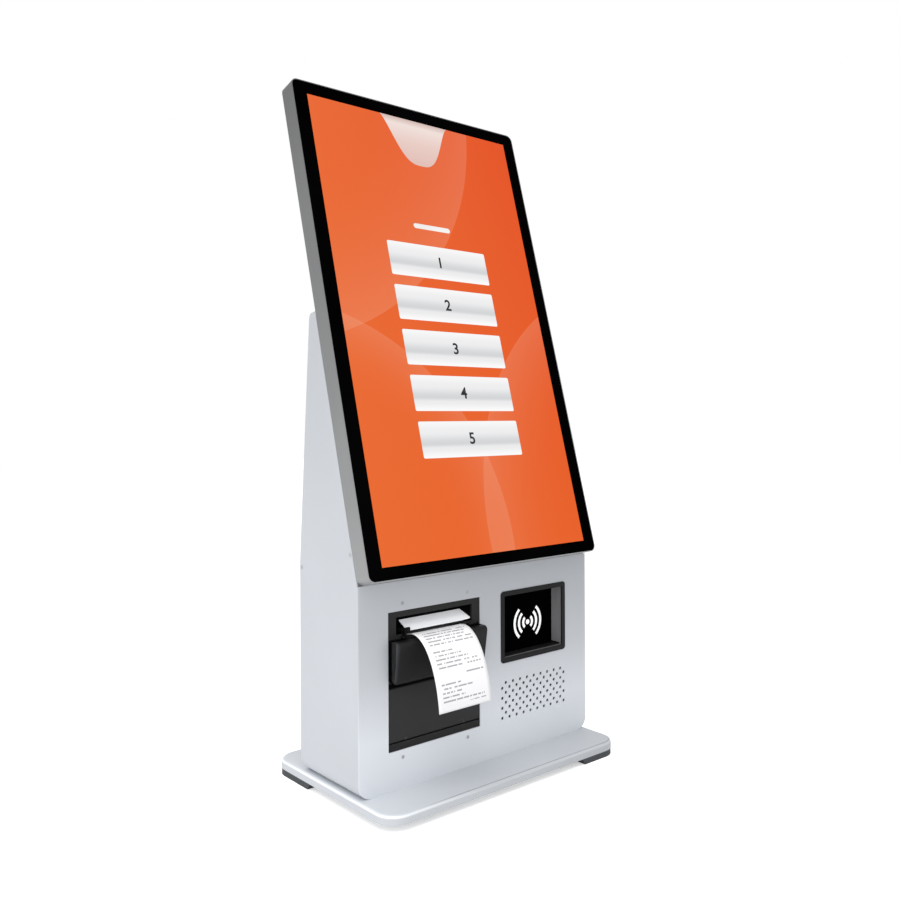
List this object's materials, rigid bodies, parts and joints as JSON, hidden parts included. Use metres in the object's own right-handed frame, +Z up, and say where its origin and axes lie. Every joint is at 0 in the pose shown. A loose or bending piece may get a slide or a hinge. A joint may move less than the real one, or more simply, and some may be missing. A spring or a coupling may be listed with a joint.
{
  "type": "self-checkout terminal",
  "caption": "Counter-top self-checkout terminal: tilted portrait touch display on a folded steel pedestal with receipt printer, contactless reader pocket and speaker grille.",
  "frame": {"origin": "on the counter, under the centre of the base plate", "axes": "+Z up, front (display and printer) towards -Y, +X to the right as seen from the front"},
  "size_m": [0.38, 0.252, 0.8773],
  "materials": {
    "pale_paint": "semi-gloss powder coat, very pale bluish grey",
    "foot_rubber": "matt moulded rubber, dark grey",
    "zinc_steel": "bright zinc-plated steel",
    "frame_alloy": "satin anodised aluminium",
    "screen_glass": "cover glass over the lit picture, opaque black border",
    "lcd_black": "black panel module",
    "dark_sheet": "matt black painted sheet steel",
    "circuit_board": "green solder mask",
    "charcoal_plastic": "finely grained charcoal moulding",
    "black_plastic": "satin black moulding",
    "milky_plastic": "translucent white light guide",
    "head_alloy": "bare extruded aluminium",
    "nylon": "natural white nylon",
    "platen_rubber": "ground black rubber",
    "paper": "white thermal paper",
    "cone_paper": "black treated paper cone",
    "black_glass": "opaque glossy black window",
    "lock_chrome": "polished chrome plate"
  },
  "bodies": {
    "housing": {"base_plate": "pale_paint", "rubber_feet": "foot_rubber", "base_bolts": "zinc_steel", "pedestal_shell": "pale_paint", "front_panel": "pale_paint", "side_screws": "zinc_steel", "display_frame": "frame_alloy", "display_glass": "screen_glass", "lcd_panel": "lcd_black", "display_tray": "dark_sheet", "display_board": "circuit_board", "display_mount": "zinc_steel", "mount_screws": "zinc_steel", "printer_bezel": "charcoal_plastic", "printer_screws": "zinc_steel", "printer_body": "charcoal_plastic", "light_guide": "milky_plastic", "tear_bar": "black_plastic", "print_head": "head_alloy", "head_springs": "zinc_steel", "feed_motor": "zinc_steel", "hinge_rod": "zinc_steel", "roll_spindle": "nylon", "paper_web": "paper", "reader_bezel": "charcoal_plastic", "reader_window": "black_glass", "reader_board": "circuit_board", "speaker_basket": "dark_sheet", "speaker_cone": "cone_paper", "speaker_magnet": "zinc_steel", "board_tray": "zinc_steel", "main_board": "circuit_board", "heat_sink": "head_alloy", "power_supply": "zinc_steel", "io_plate": "dark_sheet", "power_inlet": "black_plastic", "switch_housing": "black_plastic", "network_ports": "zinc_steel", "fan_frame": "black_plastic", "fan_screws": "zinc_steel", "door_hinges": "zinc_steel"},
    "printer_door": {"printer_door": "black_plastic", "receipt": "paper"},
    "platen": {"platen_roller": "platen_rubber", "platen_shaft": "zinc_steel", "platen_gear": "nylon"},
    "feed_gear": {"feed_gear": "nylon"},
    "motor_pinion": {"motor_pinion": "nylon"},
    "paper_roll": {"paper_roll": "paper"},
    "release_lever": {"release_lever": "black_plastic"},
    "rear_door": {"rear_door": "pale_paint", "lock_barrel": "lock_chrome"},
    "lock_cam": {"lock_cam": "zinc_steel"},
    "rocker": {"rocker_switch": "black_plastic"},
    "fan_rotor": {"fan_rotor": "black_plastic"}
  },
  "joints": [
    {"name": "printer_door_hinge", "type": "hinge", "parent": "housing", "child": "printer_door", "pos_m": [-0.0775, -0.063, 0.0762], "axis": [1, 0, 0], "range_deg": [0, 75]},
    {"name": "platen_spin", "type": "hinge", "parent": "printer_door", "child": "platen", "pos_m": [-0.0775, -0.054, 0.185], "axis": [1, 0, 0], "continuous": true},
    {"name": "feed_gear_spin", "type": "hinge", "parent": "housing", "child": "feed_gear", "pos_m": [-0.0285, -0.0348, 0.185], "axis": [1, 0, 0], "continuous": true},
    {"name": "motor_spin", "type": "hinge", "parent": "housing", "child": "motor_pinion", "pos_m": [-0.0285, -0.0197, 0.17972], "axis": [1, 0, 0], "continuous": true},
    {"name": "paper_roll_spin", "type": "hinge", "parent": "housing", "child": "paper_roll", "pos_m": [-0.0775, -0.017, 0.1218], "axis": [1, 0, 0], "continuous": true},
    {"name": "release_lever_pivot", "type": "hinge", "parent": "housing", "child": "release_lever", "pos_m": [-0.125, -0.043, 0.177], "axis": [1, 0, 0], "range_deg": [0, 5], "stiffness_Nm_per_rad": 0.02, "springref_deg": -2.86},
    {"name": "rear_door_hinge", "type": "hinge", "parent": "housing", "child": "rear_door", "pos_m": [-0.168, 0.0639, 0.176], "axis": [0, 0, 1], "range_deg": [0, 110]},
    {"name": "lock_turn", "type": "hinge", "parent": "rear_door", "child": "lock_cam", "pos_m": [0.143, 0.05, 0.176], "axis": [0, -1, 0], "range_deg": [0, 90]},
    {"name": "rocker_tip", "type": "hinge", "parent": "housing", "child": "rocker", "pos_m": [-0.09, 0.055, 0.049], "axis": [1, 0, 0], "range_deg": [0, 16]},
    {"name": "fan_spin", "type": "hinge", "parent": "housing", "child": "fan_rotor", "pos_m": [0, 0.03787, 0.44373], "axis": [0, 0.9968, 0.0803], "continuous": true}
  ],
  "couplings": [
    {"joint": "platen_spin", "follows": "paper_roll_spin", "ratio": -4.75},
    {"joint": "feed_gear_spin", "follows": "paper_roll_spin", "ratio": 3.3929},
    {"joint": "motor_spin", "follows": "paper_roll_spin", "ratio": -7.9167}
  ]
}
